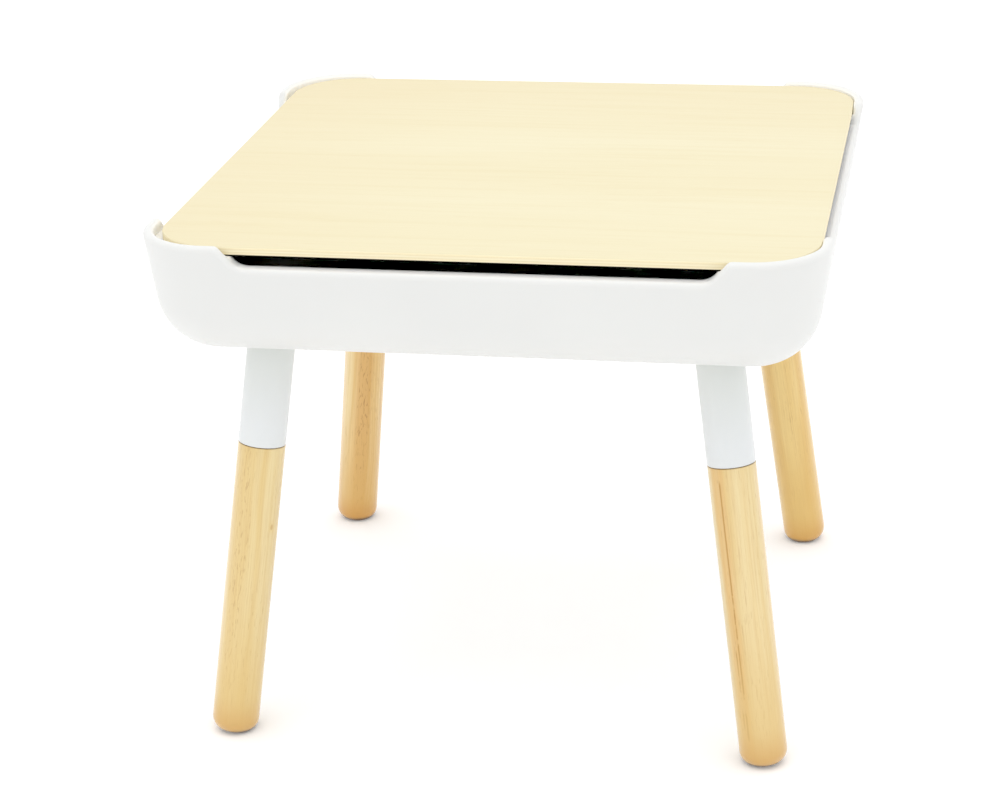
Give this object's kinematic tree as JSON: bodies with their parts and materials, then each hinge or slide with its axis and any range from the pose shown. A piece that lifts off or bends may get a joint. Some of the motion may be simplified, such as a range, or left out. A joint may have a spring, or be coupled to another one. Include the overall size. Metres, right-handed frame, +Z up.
{
  "type": "kids table with storage",
  "caption": "Low square play table: a moulded storage tub with finger notches under a lift-off wooden lid, on splayed round wooden legs that screw in through moulded sleeves.",
  "frame": {"origin": "on the floor under the centre of the tub, at the bottom centre of the overall box", "axes": "+Z up, front of the table faces -Y, +X to the right seen from the front"},
  "size_m": [0.5218, 0.5218, 0.425],
  "materials": {
    "tub_plastic": "satin moulded white",
    "lid_wood": "pale maple-faced plywood, matt lacquer",
    "chalkboard": "matt black writing surface",
    "sleeve_plastic": "satin moulded white",
    "leg_wood": "clear-lacquered turned hardwood",
    "steel": "zinc-plated",
    "brass": "plain"
  },
  "bodies": {
    "root": {"tub_shell": "tub_plastic", "sleeve_front_left": "sleeve_plastic", "sleeve_front_right": "sleeve_plastic", "sleeve_back_left": "sleeve_plastic", "sleeve_back_right": "sleeve_plastic", "leg_front_left": "leg_wood", "leg_front_right": "leg_wood", "leg_back_left": "leg_wood", "leg_back_right": "leg_wood", "hanger_bolts": "steel", "threaded_inserts": "brass"},
    "lid": {"lid_panel": "lid_wood", "lid_chalkboard": "chalkboard"}
  },
  "joints": [
    {"name": "lid_lift", "type": "slide", "parent": "root", "child": "lid", "axis": [0, 0, 1], "range_m": [0, 0.16]}
  ]
}
